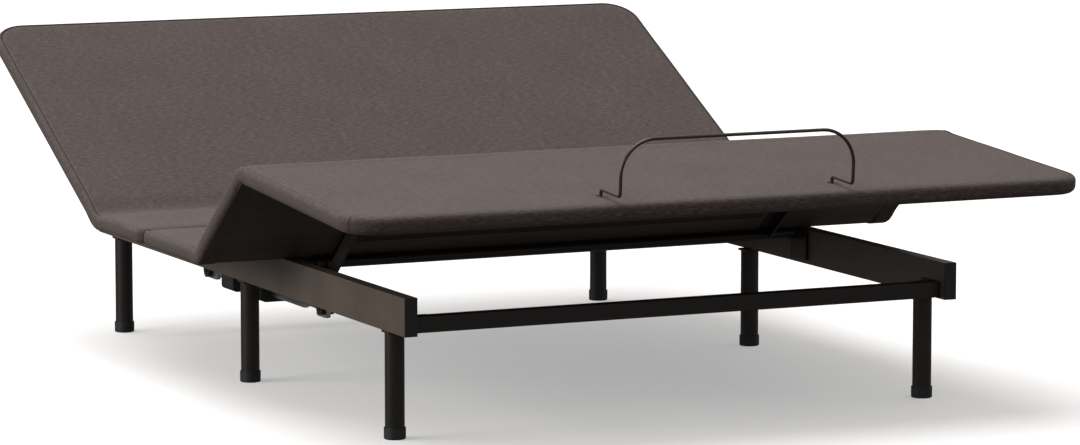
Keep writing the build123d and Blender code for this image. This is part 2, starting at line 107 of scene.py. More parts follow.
def head_fold(p):
    """Flat points of the seat and head section to the rest pose, with a soft fold."""
    w = smooth((p[:, 1] - HEAD_AXIS[0]) / HEAD_FOLD + 0.5)
    y, z = turn(p[:, 1], p[:, 2], HEAD_AXIS, w * HEAD_ANGLE)
    return np.stack([p[:, 0], y, z], 1)


def foot_fold(p):
    """Flat points of the seat, thigh and foot sections to the rest pose, with soft folds."""
    knee = smooth((KNEE_AXIS[0] - p[:, 1]) / KNEE_FOLD + 0.5)
    thigh = smooth((THIGH_AXIS[0] - p[:, 1]) / THIGH_FOLD + 0.5)
    y, z = turn(p[:, 1], p[:, 2], KNEE_AXIS, knee * KNEE_ANGLE)
    y, z = turn(y, z, THIGH_AXIS, -thigh * THIGH_ANGLE)
    return np.stack([p[:, 0], y, z], 1)


def rest_point(fold, y, z, x=0.0):
    """One flat point at the rest pose."""
    return Vector(fold(np.array([[x, y, z]]))[0])


# ---- mesh helpers --------------------------------------------------------------------------
def make_object(name, points, faces, smooth_faces=True):
    """A mesh object from arrays."""
    mesh = bpy.data.meshes.new(name)
    mesh.from_pydata([tuple(p) for p in points], [], faces)
    mesh.validate()
    if smooth_faces:
        mesh.shade_smooth()
    obj = bpy.data.objects.new(name, mesh)
    bpy.context.scene.collection.objects.link(obj)
    return obj


def vector_attribute(obj, name, values):
    """Store one vector per point for the material."""
    layer = obj.data.attributes.get(name) or obj.data.attributes.new(name, "FLOAT_VECTOR", "POINT")
    layer.data.foreach_set("vector", np.asarray(values, np.float32).ravel())


def read_attribute(obj, name):
    """A stored vector attribute as rows."""
    values = np.zeros(3 * len(obj.data.vertices), np.float32)
    obj.data.attributes[name].data.foreach_get("vector", values)
    return values.reshape(-1, 3)


def waves(x, y, seed, size):
    """Smooth pseudo-random field made of a few sine waves, about -1 to 1."""
    rng = np.random.default_rng(seed)
    total = np.zeros_like(x)
    for _ in range(9):
        a, f, ph = rng.uniform(0, 2 * math.pi), rng.uniform(0.6, 1.6) / size, rng.uniform(0, 6.3)
        total += np.sin(2 * math.pi * f * (x * math.cos(a) + y * math.sin(a)) + ph)
    return total / 4.0


# ---- padded covers -------------------------------------------------------------------------
# Edge profile from the side of the deck inwards: (distance in from the side, height), mm.
TOP_PROFILE = [
    (0, 15), (0, 18.5), (0.5, 21.8), (1.7, 24.5), (3.4, 26.6), (5.2, 27.9), (6.8, 28.4), (7.9, 28.0),
    (8.8, 27.2), (9.8, 27.0), (11.0, 27.8), (13, 28.6), (17, 29.1), (21, 29.4), (26, 29.6), (32, 29.8),
    (40, 29.9), (48, 30.0), (56, 30.05), (65, 30.1), (82, 30.2), (110, 30.3),
]
BOTTOM_PROFILE = [
    (0, 15), (0, 11.5), (0.3, 8.4), (1.0, 5.8), (2.2, 3.6), (3.8, 1.8), (6.0, 0.6), (9.0, 0.0),
    (14, -0.1), (19, -0.1), (24, -0.1), (29, -0.1), (34, -0.1), (38, -0.1), (38.6, 1.0), (39.4, 3.0),
    (42, 6.0), (50, 6.0), (58, 6.0), (65, 6.0), (82, 6.0), (110, 6.0),
]
SEAM_RING = 8                   # ring of the top profile that the sewn seam runs along
CORNER_SEAM = 30                # degrees round an outer corner to the upright seam in the border
LAST = len(TOP_PROFILE) - 1


def side_lines(profile, lo, hi, finish_lo, finish_hi, step):
    """Grid lines across a cover: position, and ring number counted in from the nearer finished side."""
    insets = [p[0] * MM for p in profile]
    start = lo + (insets[-1] if finish_lo else 0.0)
    end = hi - (insets[-1] if finish_hi else 0.0)
    count = max(2, round((end - start) / step))
    middle = [start + (end - start) * i / count for i in range(count + 1)]
    lines = [(v, LAST) for v in middle]
    if finish_lo:
        lines = [(lo + insets[k], k) for k in range(LAST)] + lines
    if finish_hi:
        lines = lines + [(hi - insets[k], k) for k in range(LAST - 1, -1, -1)]
    return lines


def run_length(profile):
    """Length along a profile from its side to each ring, in metres."""
    points = np.array(profile, float) * MM
    return np.concatenate([[0.0], np.cumsum(np.linalg.norm(np.diff(points, axis=0), axis=1))])


def round_corner(x, y, half, end, radius, sign):
    """Square corner of a plan to an arc."""
    u = np.abs(x) - (half - radius)
    v = sign * (y - end) + radius
    if u <= 0 or v <= 0:
        return x, y
    k = max(u, v) / math.hypot(u, v)
    return math.copysign(half - radius + u * k, x), end + sign * (v * k - radius)


def corner_seam(x, y, y0, y1, radius0, radius1):
    """Signed distance round an outer corner from its upright seam."""
    inward = y1 - y if radius1 == OUTER_R else y - y0
    if OUTER_R not in (radius0, radius1):
        return 1.0
    around = math.atan2(OUTER_R - inward, abs(x) - HALF_WIDTH + OUTER_R)
    return OUTER_R * (around - math.radians(CORNER_SEAM))


def cover(name, y0, y1, radius0, radius1, fold, seed):
    """Closed padded cover of one stretch of deck. A radius of 0 is a cut end that meets the next cover."""
    points, weave, seam = [], [], []
    index = {}
    tops, bottoms = run_length(TOP_PROFILE), run_length(BOTTOM_PROFILE)
    grids = []
    for side, (profile, runs) in enumerate(((TOP_PROFILE, tops), (BOTTOM_PROFILE, bottoms))):
        xs = side_lines(profile, -HALF_WIDTH, HALF_WIDTH, True, True, 0.014)
        ys = side_lines(profile, y0, y1, radius0 > 0, radius1 > 0, 0.008)
        grid = []
        for i, (x, kx) in enumerate(xs):
            row = []
            for j, (y, ky) in enumerate(ys):
                k = min(kx, ky)
                key = ("edge", i, j) if k == 0 else (side, i, j)
                if key not in index:
                    px, py = x, y
                    if radius0 > 0:
                        px, py = round_corner(px, py, HALF_WIDTH, y0, radius0, -1)
                    if radius1 > 0:
                        px, py = round_corner(px, py, HALF_WIDTH, y1, radius1, 1)
                    beyond = (runs[LAST] - runs[kx], runs[LAST] - runs[ky])
                    extra = 0.0 if side == 0 else tops[LAST] + 0.2
                    dx = math.copysign(HALF_WIDTH - profile[LAST][0] * MM + beyond[0] + extra, x)
                    wx = x if kx == LAST else dx
                    near_lo = y - y0 < y1 - y
                    deep = profile[LAST][0] * MM - beyond[1]
                    dy = y0 + deep if near_lo else y1 - deep
                    wy = y if ky == LAST else dy
                    index[key] = len(points)
                    points.append((px, py, DECK_Z + profile[k][1] * MM))
                    weave.append((wx, wy, float(side)))
                    off = (runs[k] if side == 0 else -runs[k]) - tops[SEAM_RING]
                    along = y if kx <= ky else x
                    seam.append((off, along, corner_seam(px, py, y0, y1, radius0, radius1)))
                row.append(index[key])
            grid.append(row)
        grids.append(grid)
    faces = []
    for side, grid in enumerate(grids):
        for i in range(len(grid) - 1):
            for j in range(len(grid[0]) - 1):
                quad = [grid[i][j], grid[i + 1][j], grid[i + 1][j + 1], grid[i][j + 1]]
                faces.append(quad if side == 0 else quad[::-1])
    caps = []
    for j, cut in ((0, radius0 == 0), (-1, radius1 == 0)):
        if not cut:
            continue
        top, bottom = [row[j] for row in grids[0]], [row[j] for row in grids[1]]
        for i in range(len(top) - 1):
            quad = [top[i], bottom[i], bottom[i + 1], top[i + 1]]
            quad = quad if j == 0 else quad[::-1]
            caps.append(len(faces))
            faces.append(list(dict.fromkeys(quad)))
    p = np.array(points)
    relax_fabric(p, y0, y1, seed)
    obj = make_object(name, fold(p), faces)
    vector_attribute(obj, "weave", weave)
    vector_attribute(obj, "seam", seam)
    if caps:
        layers = obj.data.attributes
        edges = layers.get("sharp_edge") or layers.new("sharp_edge", "BOOLEAN", "EDGE")
        by_edge = {tuple(sorted(e.vertices)): e.index for e in obj.data.edges}
        for f in caps:
            for key in obj.data.polygons[f].edge_keys:
                edges.data[by_edge[tuple(sorted(key))]].value = True
    return obj


def relax_fabric(p, y0, y1, seed):
    """Small unevenness of foam under cloth: a soft swell, and fine wrinkles where a fold presses it."""
    x, y, z = p[:, 0].copy(), p[:, 1].copy(), p[:, 2]
    top = smooth((z - DECK_Z - 0.020) / 0.008)
    inside = smooth((y - y0) / 0.03) * smooth((y1 - y) / 0.03)
    inside *= smooth((THIGH_SPLIT - y) / 0.02 - 1.0) + smooth((y - THIGH_SPLIT) / 0.02 - 1.0)
    z += top * 0.00035 * waves(x, y, 11, 0.23) * inside
    for centre, reach in ((HEAD_AXIS[0] - 0.006, 0.024), (THIGH_AXIS[0] + 0.006, 0.020)):
        near = np.exp(-(((y - centre) / reach) ** 2))
        ripple = np.sin((y - centre) * 2 * math.pi / 0.017 + 1.3 * waves(x, y, seed + 3, 0.30))
        z += top * near * 0.00045 * ripple * (0.6 + 0.4 * waves(x, y, seed + 5, 0.21))


def punch(obj, centres, radius, fold, angle):
    """Cut round holes through a cover at flat (x, y) centres on a section that has turned by an angle."""
    kept = {name: read_attribute(obj, name) for name in ("weave", "seam")}
    tree = KDTree(len(obj.data.vertices))
    for v in obj.data.vertices:
        tree.insert(v.co, v.index)
    tree.balance()
    cutter_mesh = bpy.data.meshes.new("cutter")
    bm = bmesh.new()
    for x, y in centres:
        made = bmesh.ops.create_cone(
            bm, cap_ends=True, segments=48, radius1=radius, radius2=radius, depth=0.030
        )
        for v in made["verts"]:
            v.co += Vector((x, y, DECK_Z + 0.0255))
    bm.to_mesh(cutter_mesh)
    bm.free()
    co = np.array([v.co for v in cutter_mesh.vertices])
    cutter_mesh.vertices.foreach_set("co", fold(co).astype(np.float32).ravel())
    cutter = bpy.data.objects.new("cutter", cutter_mesh)
    bpy.context.scene.collection.objects.link(cutter)
    modifier = obj.modifiers.new("holes", "BOOLEAN")
    modifier.object = cutter
    modifier.operation = "DIFFERENCE"
    modifier.solver = "EXACT"
    apply_modifiers(obj)
    bpy.data.objects.remove(cutter)
    nearest = [tree.find(v.co) for v in obj.data.vertices]
    rows = [found[1] for found in nearest]
    moved = np.array([v.co - found[0] for v, found in zip(obj.data.vertices, nearest)])
    weave = kept["weave"][rows]
    weave[:, 0] += moved[:, 0]
    weave[:, 1] += moved[:, 1] * math.cos(angle) + moved[:, 2] * math.sin(angle)
    vector_attribute(obj, "weave", weave)
    vector_attribute(obj, "seam", kept["seam"][rows])
    obj.data.shade_smooth()
    obj.data.set_sharp_from_angle(angle=math.radians(60))


def apply_modifiers(obj):
    """Bake an object's modifiers into its mesh."""
    evaluated = obj.evaluated_get(bpy.context.evaluated_depsgraph_get())
    mesh = bpy.data.meshes.new_from_object(evaluated)
    obj.modifiers.clear()
    obj.data = mesh


# ---- materials -----------------------------------------------------------------------------
def add(tree, kind, props=None, inputs=None):
    """A shader node with its properties and inputs set; a socket value links."""
    node = tree.nodes.new(kind)
    for key, value in (props or {}).items():
        setattr(node, key, value)
    for key, value in (inputs or {}).items():
        if isinstance(value, bpy.types.NodeSocket):
            tree.links.new(value, node.inputs[key])
        else:
            node.inputs[key].default_value = value
    return node


def calc(tree, operation, a, b=0.0, c=0.0, clamp=False):
    """One Math node's result."""
    props = {"operation": operation, "use_clamp": clamp}
    return add(tree, "ShaderNodeMath", props, {0: a, 1: b, 2: c}).outputs[0]


def attribute(tree, name):
    """A point attribute's vector."""
    props = {"attribute_name": name, "attribute_type": "GEOMETRY"}
    return add(tree, "ShaderNodeAttribute", props).outputs["Vector"]


def noise(tree, vector, scale, detail=3.0, rough=0.55):
    """Noise factor, 0 to 1."""
    inputs = {"Vector": vector, "Scale": scale, "Detail": detail, "Roughness": rough}
    return add(tree, "ShaderNodeTexNoise", None, inputs).outputs["Fac"]


def ramp(tree, factor, stops):
    """Colour ramp."""
    node = add(tree, "ShaderNodeValToRGB", None, {"Fac": factor})
    elements = node.color_ramp.elements
    while len(elements) < len(stops):
        elements.new(0.5)
    for element, (place, colour) in zip(elements, stops):
        element.position = place
        element.color = (*colour, 1.0)
    return node.outputs["Color"]


def mixed(tree, factor, a, b, mode="MIX"):
    """Mixed colour."""
    node = add(tree, "ShaderNodeMix", {"data_type": "RGBA", "blend_type": mode})
    sockets = [s for s in node.inputs if s.name == "Factor" and s.type == "VALUE"]
    colours = [s for s in node.inputs if s.type == "RGBA"]
    for socket, value in ((sockets[0], factor), (colours[0], a), (colours[1], b)):
        if isinstance(value, bpy.types.NodeSocket):
            tree.links.new(value, socket)
        elif socket.type == "RGBA":
            socket.default_value = (*value, 1.0)
        else:
            socket.default_value = value
    return [s for s in node.outputs if s.type == "RGBA"][0]


def stretched(tree, vector, scale):
    """A vector scaled unevenly."""
    return add(tree, "ShaderNodeVectorMath", {"operation": "MULTIPLY"}, {0: vector, 1: scale}).outputs[0]


def material(name, colour, roughness, metallic=0.0):
    """New material with its shader's plain values set, and its tree and shader."""
    made = bpy.data.materials.new(name)
    made.use_nodes = True
    tree = made.node_tree
    shader = tree.nodes["Principled BSDF"]
    shader.inputs["Base Color"].default_value = (*colour, 1.0)
    shader.inputs["Roughness"].default_value = roughness
    shader.inputs["Metallic"].default_value = metallic
    return made, tree, shader


def bump(tree, shader, height, distance, strength=1.0, normal=None):
    """Bump from a height socket."""
    inputs = {"Height": height, "Distance": distance, "Strength": strength}
    if normal is not None:
        inputs["Normal"] = normal
    node = add(tree, "ShaderNodeBump", None, inputs)
    tree.links.new(node.outputs["Normal"], shader.inputs["Normal"])
    return node


def line_mask(tree, distance, half):
    """1 on a line, falling to 0 at half its width."""
    away = calc(tree, "DIVIDE", calc(tree, "ABSOLUTE", distance), half)
    return calc(tree, "SUBTRACT", 1.0, away, clamp=True)


def yarns(tree, across, pitch):
    """Rounded yarns side by side, 0 between them and 1 on their crowns."""
    return calc(tree, "ABSOLUTE", calc(tree, "SINE", calc(tree, "MULTIPLY", across, math.pi / pitch)))


def woven_cover():
    """Heather plain-weave cover: dark and light yarns with painted shade between them, slubs, and a stitched seam
    round the edge with painted shade in its furrow.
    """
    made, tree, shader = material("cover_fabric_weave", (0.080, 0.063, 0.057), 0.92)
    shader.inputs["Sheen Weight"].default_value = 0.14
    shader.inputs["Sheen Roughness"].default_value = 0.55
    shader.inputs["Sheen Tint"].default_value = (0.62, 0.55, 0.52, 1.0)
    shader.inputs["Specular IOR Level"].default_value = 0.25
    place = attribute(tree, "weave")
    axes = add(tree, "ShaderNodeSeparateXYZ", None, {0: place})
    pitch = 1.35 * MM
    warp = yarns(tree, axes.outputs[0], pitch)
    weft = yarns(tree, axes.outputs[1], pitch)
    over = add(tree, "ShaderNodeTexChecker", None, {"Vector": place, "Scale": 1 / pitch}).outputs["Fac"]
    warp_up = calc(tree, "MULTIPLY", warp, calc(tree, "MULTIPLY_ADD", weft, 0.5, 0.5))
    weft_up = calc(tree, "MULTIPLY", weft, calc(tree, "MULTIPLY_ADD", warp, 0.5, 0.5))
    thread = calc(tree, "ADD", calc(tree, "MULTIPLY", over, warp_up),
                  calc(tree, "MULTIPLY", calc(tree, "SUBTRACT", 1.0, over), weft_up))
    warp_yarn = noise(tree, stretched(tree, place, (620.0, 48.0, 1.0)), 1.0, 2.0)
    weft_yarn = noise(tree, stretched(tree, place, (48.0, 620.0, 1.0)), 1.0, 2.0)
    yarn = calc(tree, "ADD", calc(tree, "MULTIPLY", over, warp_yarn),
                calc(tree, "MULTIPLY", calc(tree, "SUBTRACT", 1.0, over), weft_yarn))
    fleck = noise(tree, stretched(tree, place, (75.0, 290.0, 1.0)), 1.0, 3.0, 0.6)
    cloud = noise(tree, place, 7.0, 3.0)
    heather = calc(tree, "ADD", calc(tree, "MULTIPLY", yarn, 0.35), calc(tree, "MULTIPLY", fleck, 0.65))
    colour = ramp(tree, heather, [
        (0.34, (0.038, 0.0273, 0.0245)), (0.46, (0.060, 0.0438, 0.0396)),
        (0.54, (0.079, 0.0590, 0.0535)), (0.66, (0.124, 0.0965, 0.0885)),
    ])
    # Painted shade: the low places between the yarns are darkened towards near black in the colour.
    shade_between_yarns = calc(tree, "MULTIPLY_ADD", thread, -0.45, 0.45, clamp=True)
    colour = mixed(tree, shade_between_yarns, colour, (0.035, 0.027, 0.024))
    tone = ramp(tree, cloud, [(0.3, (0.93, 0.93, 0.93)), (0.7, (1.07, 1.065, 1.06))])
    colour = mixed(tree, 1.0, colour, tone, "MULTIPLY")
    seam = add(tree, "ShaderNodeSeparateXYZ", None, {0: attribute(tree, "seam")})
    furrow = line_mask(tree, seam.outputs[0], 2.6 * MM)
    border = calc(tree, "MULTIPLY", calc(tree, "LESS_THAN", seam.outputs[0], 0.0),
                  calc(tree, "GREATER_THAN", seam.outputs[0], -0.040))
    upright = calc(tree, "MULTIPLY", line_mask(tree, seam.outputs[2], 2.0 * MM), border)
    welt = calc(tree, "SUBTRACT", seam.outputs[0], 3.4 * MM)
    line = calc(tree, "LESS_THAN", calc(tree, "ABSOLUTE", welt), 0.55 * MM)
    beat = calc(tree, "FRACT", calc(tree, "DIVIDE", seam.outputs[1], 4.6 * MM))
    stitch = calc(tree, "MULTIPLY", line, calc(tree, "LESS_THAN", beat, 0.74))
    # Painted shade: the seam's furrow and the upright corner seam are darkened nearly to black in the colour; the
    # same mask also sinks the bump there.
    seam_groove_and_painted_shade = calc(tree, "MAXIMUM", furrow, upright)
    colour = mixed(tree, calc(tree, "MULTIPLY", seam_groove_and_painted_shade, 0.75), colour, (0.013, 0.010, 0.009))
    colour = mixed(tree, calc(tree, "MULTIPLY", stitch, 0.8), colour, (0.120, 0.097, 0.089))
    tree.links.new(colour, shader.inputs["Base Color"])
    height = calc(tree, "ADD", calc(tree, "MULTIPLY", thread, 0.30), calc(tree, "MULTIPLY", fleck, 0.35))
    height = calc(tree, "ADD", height, calc(tree, "MULTIPLY", stitch, 1.1))
    height = calc(tree, "SUBTRACT", height, calc(tree, "MULTIPLY", seam_groove_and_painted_shade, 1.6))
    bump(tree, shader, height, 0.55 * MM, 0.9)
    return made


def nonwoven():
    """Spun dust-cover cloth: matt, with a fine embossed dot pattern and loose fibres."""
    made, tree, shader = material("dust_fabric_nonwoven", (0.052, 0.038, 0.032), 0.95)
    shader.inputs["Specular IOR Level"].default_value = 0.2
    place = attribute(tree, "weave")
    inputs = {"Vector": place, "Scale": 420.0, "Randomness": 0.12}
    dots = add(tree, "ShaderNodeTexVoronoi", {"feature": "F1"}, inputs)
    fibre = noise(tree, stretched(tree, place, (900.0, 260.0, 1.0)), 1.0, 3.0, 0.7)
    cloud = noise(tree, place, 9.0, 3.0)
    colour = ramp(tree, fibre, [(0.3, (0.036, 0.026, 0.022)), (0.7, (0.070, 0.052, 0.044))])
    tone = ramp(tree, cloud, [(0.3, (0.86, 0.86, 0.86)), (0.7, (1.12, 1.12, 1.12))])
    tree.links.new(mixed(tree, 1.0, colour, tone, "MULTIPLY"), shader.inputs["Base Color"])
    emboss = calc(tree, "MULTIPLY", dots.outputs["Distance"], 0.6)
    height = calc(tree, "ADD", emboss, calc(tree, "MULTIPLY", fibre, 0.4))
    bump(tree, shader, height, 0.3 * MM, 0.7)
    return made


def paint(name, colour, worn, roughness, wear=0.35, grain=2600.0, depth=0.05):
    """Powder coat: fine orange peel, cloudy gloss, softened edges with a little wear."""
    made, tree, shader = material(name, colour, roughness)
    place = add(tree, "ShaderNodeTexCoord").outputs["Object"]
    peel = noise(tree, place, grain, 2.0)
    cloud = noise(tree, place, 14.0, 4.0)
    scuff = noise(tree, place, 170.0, 5.0, 0.7)
    soft = add(tree, "ShaderNodeBevel", {"samples": 4}, {"Radius": 0.9 * MM})
    true = add(tree, "ShaderNodeNewGeometry").outputs["Normal"]
    dot = add(tree, "ShaderNodeVectorMath", {"operation": "DOT_PRODUCT"}, {0: soft.outputs[0], 1: true})
    facing = dot.outputs["Value"]
    edge = calc(tree, "MULTIPLY", calc(tree, "SUBTRACT", 1.0, facing), 3.2, clamp=True)
    edge = calc(tree, "MULTIPLY", edge, calc(tree, "GREATER_THAN", scuff, 0.54))
    tone = ramp(tree, cloud, [(0.3, tuple(0.88 * c for c in colour)), (0.7, tuple(1.14 * c for c in colour))])
    colour_socket = mixed(tree, calc(tree, "MULTIPLY", edge, wear), tone, worn)
    tree.links.new(colour_socket, shader.inputs["Base Color"])
    gloss = calc(tree, "MULTIPLY_ADD", cloud, 0.16, roughness - 0.08)
    tree.links.new(gloss, shader.inputs["Roughness"])
    bump(tree, shader, peel, depth * MM, 0.5, soft.outputs[0])
    return made


def metal(name, colour, roughness, brushed):
    """Bare metal with a drawn or plated grain."""
    made, tree, shader = material(name, colour, roughness, 1.0)
    place = add(tree, "ShaderNodeTexCoord").outputs["Object"]
    grain = noise(tree, stretched(tree, place, brushed), 1.0, 3.0)
    cloud = noise(tree, place, 60.0, 4.0)
    dull, bright = tuple(0.82 * c for c in colour), tuple(min(1.0, 1.08 * c) for c in colour)
    tone = ramp(tree, cloud, [(0.3, dull), (0.7, bright)])
    tree.links.new(tone, shader.inputs["Base Color"])
    tree.links.new(calc(tree, "MULTIPLY_ADD", grain, 0.22, roughness - 0.10), shader.inputs["Roughness"])
    soft = add(tree, "ShaderNodeBevel", {"samples": 4}, {"Radius": 0.4 * MM})
    bump(tree, shader, grain, 0.03 * MM, 0.4, soft.outputs[0])
    return made


def moulded(name, colour, roughness, grain, depth):
    """Moulded plastic with a spark-eroded grain."""
    made, tree, shader = material(name, colour, roughness)
    place = add(tree, "ShaderNodeTexCoord").outputs["Object"]
    texture = noise(tree, place, grain, 4.0, 0.65)
    cloud = noise(tree, place, 40.0, 3.0)
    tone = ramp(tree, cloud, [(0.3, tuple(0.85 * c for c in colour)), (0.7, tuple(1.2 * c for c in colour))])
    tree.links.new(tone, shader.inputs["Base Color"])
    tree.links.new(calc(tree, "MULTIPLY_ADD", texture, 0.2, roughness - 0.1), shader.inputs["Roughness"])
    soft = add(tree, "ShaderNodeBevel", {"samples": 4}, {"Radius": 0.8 * MM})
    bump(tree, shader, texture, depth * MM, 0.6, soft.outputs[0])
    return made


def stained_board():
    """Dark-stained plywood: long grain under a matt sealer."""
    made, tree, shader = material("board_wood_stained", (0.070, 0.052, 0.042), 0.72)
    place = add(tree, "ShaderNodeTexCoord").outputs["Object"]
    figure = noise(tree, stretched(tree, place, (3.0, 40.0, 40.0)), 1.0, 6.0, 0.6)
    pore = noise(tree, stretched(tree, place, (60.0, 1400.0, 900.0)), 1.0, 2.0)
    colour = ramp(tree, figure, [
        (0.30, (0.048, 0.036, 0.029)), (0.55, (0.070, 0.052, 0.042)), (0.75, (0.088, 0.066, 0.054)),
    ])
    tree.links.new(colour, shader.inputs["Base Color"])
    bump(tree, shader, pore, 0.10 * MM, 0.5)
    return made


MATERIALS = {
    "cover_fabric": woven_cover(),
    "dust_fabric": nonwoven(),
    "board_wood": stained_board(),
    "rail_paint": paint("rail_paint_brown", (0.098, 0.073, 0.057), (0.15, 0.13, 0.115), 0.42),
    "frame_paint": paint("frame_paint_black", (0.0092, 0.0074, 0.0064), (0.045, 0.042, 0.040), 0.40),
    "bar_paint": paint(
        "bar_paint_bronze", (0.034, 0.022, 0.018), (0.08, 0.06, 0.05), 0.32, 0.25, 3200.0, 0.03
    ),
    "black_plastic": moulded("black_plastic_grain", (0.012, 0.011, 0.011), 0.55, 1500.0, 0.08),
    "nylon": moulded("nylon_smooth", (0.030, 0.025, 0.022), 0.40, 900.0, 0.04),
    "zinc_steel": metal("zinc_steel_plated", (0.52, 0.52, 0.50), 0.38, (900.0, 900.0, 900.0)),
    "drawn_aluminium": metal("drawn_aluminium_tube", (0.62, 0.62, 0.63), 0.32, (1500.0, 30.0, 1500.0)),
}


def finish_with(obj, slot_name):
    """Give a piece the material of a slot."""
    obj.data.materials.clear()
    obj.data.materials.append(MATERIALS[slot_name])


for node, obj in NODES.items():
    obj.data.materials[0] = MATERIALS[SUBPARTS[node]]

# ---- the three covers ----------------------------------------------------------------------
BAR_LO, BAR_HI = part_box("retainer_bar")
PEG_X = (BAR_LO.x + 0.003, BAR_HI.x - 0.003)
PEG_Y = FOOT_END + 0.078

cover_head = cover("cover_head", SEAM_Y + SEAM_GAP, HEAD_END, SEAM_R, OUTER_R, head_fold, 21)
cover_seat = cover("cover_seat", THIGH_SPLIT, SEAM_Y - SEAM_GAP, 0, SEAM_R, foot_fold, 31)
cover_foot = cover("cover_foot", FOOT_END, THIGH_SPLIT, OUTER_R, 0, foot_fold, 31)
punch(cover_foot, [(x, PEG_Y) for x in PEG_X], 0.0112, foot_fold, KNEE_ANGLE - THIGH_ANGLE)

for piece in (cover_head, cover_seat, cover_foot):
    finish_with(piece, "cover_fabric")


def fold_span(fold, axis_point, length, sign):
    """Rest-pose points where a fold starts and ends, on the pivot's level."""
    return (
        rest_point(fold, axis_point[0] - sign * length / 2, DECK_Z),
        rest_point(fold, axis_point[0] + sign * length / 2, DECK_Z),
    )


start, end = fold_span(head_fold, HEAD_AXIS, HEAD_FOLD, 1)
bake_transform(cover_head, "base", "head_section", start=start, end=end)
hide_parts("head_pad", "seat_head_pad")
start, end = fold_span(foot_fold, THIGH_AXIS, THIGH_FOLD, -1)
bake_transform(cover_seat, "base", "thigh_section", start=start, end=end)
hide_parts("seat_foot_pad", "thigh_pad")
start, end = fold_span(foot_fold, KNEE_AXIS, KNEE_FOLD, -1)
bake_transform(cover_foot, "thigh_section", "foot_section", start=start, end=end)
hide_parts("foot_pad")

# ---- dust covers under the sections --------------------------------------------------------
DUST_HALF = 0.408
DUST_T = 0.0008


def dust_sheet(name, y0, y1, fold, bars, seed):
    """Thin cloth stapled under a board: held at its border and by the frame's bars, slack between."""
    nx, ny = 68, max(12, round((y1 - y0) / 0.012))
    xs, ys = np.linspace(-DUST_HALF, DUST_HALF, nx + 1), np.linspace(y0, y1, ny + 1)
    gx, gy = np.meshgrid(xs, ys, indexing="ij")
    sag = smooth((DUST_HALF - np.abs(gx)) / 0.10) * smooth((gy - y0) / 0.08) * smooth((y1 - gy) / 0.08)
    for bar in bars:
        sag *= smooth((np.abs(gy - bar - 0.010) - 0.012) / 0.06)
    ripple = 1.0 + 0.35 * waves(gx, gy, seed, 0.16)
    scallop = 0.0004 * np.abs(np.sin(gx * math.pi / 0.045)) * smooth(1 - (gy - y0) / 0.03)
    low = DECK_Z - 0.0010 - 0.0030 * sag * ripple - scallop
    flat = np.stack([gx.ravel(), gy.ravel()], 1)
    top = np.column_stack([flat, low.ravel() + DUST_T])
    bottom = np.column_stack([flat, low.ravel()])
    count = (nx + 1) * (ny + 1)
    faces = []
    for i in range(nx):
        for j in range(ny):
            a, b = i * (ny + 1) + j, (i + 1) * (ny + 1) + j
            faces.append([a, b, b + 1, a + 1])
            faces.append([count + a + 1, count + b + 1, count + b, count + a])
    rim = [j for j in range(ny + 1)] + [i * (ny + 1) + ny for i in range(1, nx + 1)]
    rim += [nx * (ny + 1) + j for j in range(ny - 1, -1, -1)] + [i * (ny + 1) for i in range(nx - 1, 0, -1)]
    for a, b in zip(rim, rim[1:] + rim[:1]):
        faces.append([a, b, count + b, count + a][::-1])
    obj = make_object(name, fold(np.vstack([top, bottom])), faces)
    vector_attribute(obj, "weave", np.vstack([top, bottom]))
    finish_with(obj, "dust_fabric")
    return obj


def staples(name, y0, y1, fold):
    """Wire staples round a dust cover's border."""
    bm = bmesh.new()
    spots = []
    inset = 0.008
    for side in (-1, 1):
        for i in range(round((y1 - y0) / 0.045)):
            spots.append((side * (DUST_HALF - inset), y0 + 0.022 + 0.045 * i, 0.0, 0.010))
    for y in (y0 + inset, y1 - inset):
        for i in range(17):
            spots.append((-0.384 + 0.048 * i, y, 0.010, 0.0))
    for x, y, wide, deep in spots:
        made = bmesh.ops.create_cube(bm, size=1.0)
        size = Vector((max(wide, 0.0012), max(deep, 0.0012), 0.0007))
        for v in made["verts"]:
            v.co = Vector((v.co.x * size.x + x, v.co.y * size.y + y, v.co.z * size.z + DECK_Z - 0.0014))
    bmesh.ops.bevel(bm, geom=bm.edges[:], offset=0.00022, segments=1, affect="EDGES")
    mesh = bpy.data.meshes.new(name)
    bm.to_mesh(mesh)
    bm.free()
    co = np.array([v.co for v in mesh.vertices])
    mesh.vertices.foreach_set("co", fold(co).astype(np.float32).ravel())
    obj = bpy.data.objects.new(name, mesh)
    bpy.context.scene.collection.objects.link(obj)
    finish_with(obj, "frame_paint")
    return obj


head_y, knee_y, thigh_y = HEAD_AXIS[0], KNEE_AXIS[0], THIGH_AXIS[0]
SHEETS = [
    ("head", head_y + 0.060, head_y + 0.640, head_fold, (head_y + 0.150, head_y + 0.560), "head_section", 41),
    ("thigh", knee_y + 0.040, thigh_y - 0.050, foot_fold, (), "thigh_section", 43),
    ("foot", FOOT_END + 0.130, knee_y - 0.040, foot_fold, (knee_y - 0.250,), "foot_section", 47),
]
for part, y0, y1, fold, bars, body, seed in SHEETS:
    sheet = dust_sheet(f"{part}_dust_sheet", y0, y1, fold, bars, seed)
    pins = staples(f"{part}_dust_staples", y0, y1, fold)
    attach(sheet, body)
    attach(pins, body)
    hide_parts(f"{part}_dust_cover")


# ---- socket grommets -----------------------------------------------------------------------
def lathe(name, profile, centre, fold, segments=56):
    """Closed ring turned about an upright axis. Profile: (radius, height above the deck's underside)."""
    points, faces = [], []
    n = len(profile)
    for i in range(segments):
        a = 2 * math.pi * i / segments
        for r, h in profile:
            points.append((centre[0] + r * math.cos(a), centre[1] + r * math.sin(a), DECK_Z + h))
    for i in range(segments):
        for j in range(n):
            a, b = i * n, (i + 1) % segments * n
            faces.append([a + j, b + j, b + (j + 1) % n, a + (j + 1) % n])
    obj = make_object(name, fold(np.array(points)), faces)
    mesh = obj.data
    mesh.set_sharp_from_angle(angle=math.radians(50))
    return obj


